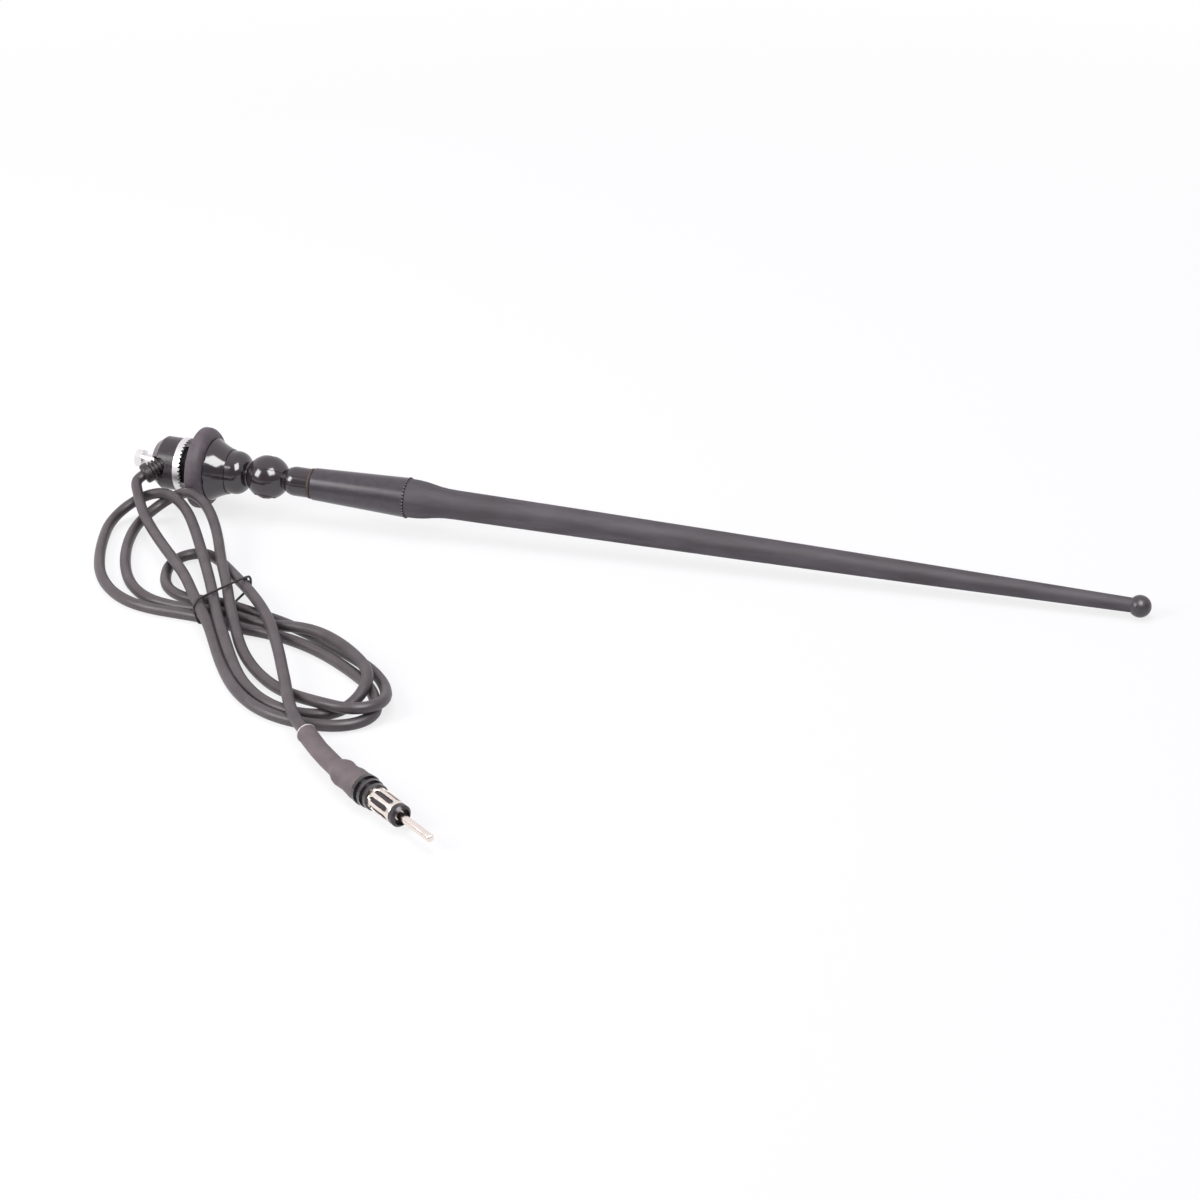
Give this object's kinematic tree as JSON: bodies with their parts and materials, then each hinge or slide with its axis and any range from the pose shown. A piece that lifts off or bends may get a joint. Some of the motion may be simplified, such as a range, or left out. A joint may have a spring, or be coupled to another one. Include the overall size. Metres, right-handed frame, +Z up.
{
  "type": "vehicle radio antenna",
  "caption": "Rubber-mast vehicle radio antenna with a swivel ball, a padded cone base, a toothed under-panel clamp and a tied coax lead that ends in a radio plug.",
  "frame": {"origin": "on the surface that it lies on, under the middle of the antenna's box without its cord", "axes": "+X along the antenna from its clamp to its tip, +Z up, the tied cable on the -Y side"},
  "size_m": [0.4813, 0.2904, 0.0386],
  "materials": {
    "mast_rubber": "matte moulded",
    "pad_rubber": "matte moulded",
    "black_enamel": "gloss",
    "black_satin": "satin",
    "black_gloss_plastic": "gloss",
    "ring_fibre": "matte",
    "zinc_steel": "bright zinc plate",
    "spring_steel": "drawn",
    "brass": "turned",
    "black_nylon": "fine moulded",
    "boot_rubber": "matte moulded",
    "cable_jacket": "soft matte",
    "tie_nylon": "satin",
    "shrink_sleeve": "matte",
    "nickel": "bright nickel plate"
  },
  "bodies": {
    "base": {"knuckle_base_half": "black_enamel", "knuckle_screw": "zinc_steel", "knuckle_washer": "zinc_steel", "knuckle_nut": "zinc_steel", "base_cone": "black_gloss_plastic", "base_pad": "pad_rubber", "panel_bush": "black_nylon", "centre_stud": "brass", "claw_ring": "zinc_steel", "lower_housing": "black_nylon", "clamp_bolt": "zinc_steel", "core_tag": "brass", "strain_relief": "boot_rubber", "cable_lead": "cable_jacket", "cable_hank": "cable_jacket", "cable_tail": "cable_jacket", "cable_tie": "tie_nylon", "plug_sleeve": "shrink_sleeve", "plug_collar": "black_gloss_plastic", "plug_shell": "nickel", "plug_insulator": "black_nylon", "plug_pin": "nickel"},
    "mast": {"mast_rubber": "mast_rubber", "mast_core": "spring_steel", "tip_ball": "black_gloss_plastic", "ferrule": "black_satin", "mast_stud": "zinc_steel", "ferrule_ring": "ring_fibre", "knuckle_mast_half": "black_enamel"}
  },
  "joints": [
    {"name": "mast_swivel", "type": "hinge", "parent": "base", "child": "mast", "pos_m": [-0.17272, 0, 0.01825], "axis": [-0.0276, -0.5299, -0.8476], "range_deg": [-90, 90]}
  ]
}
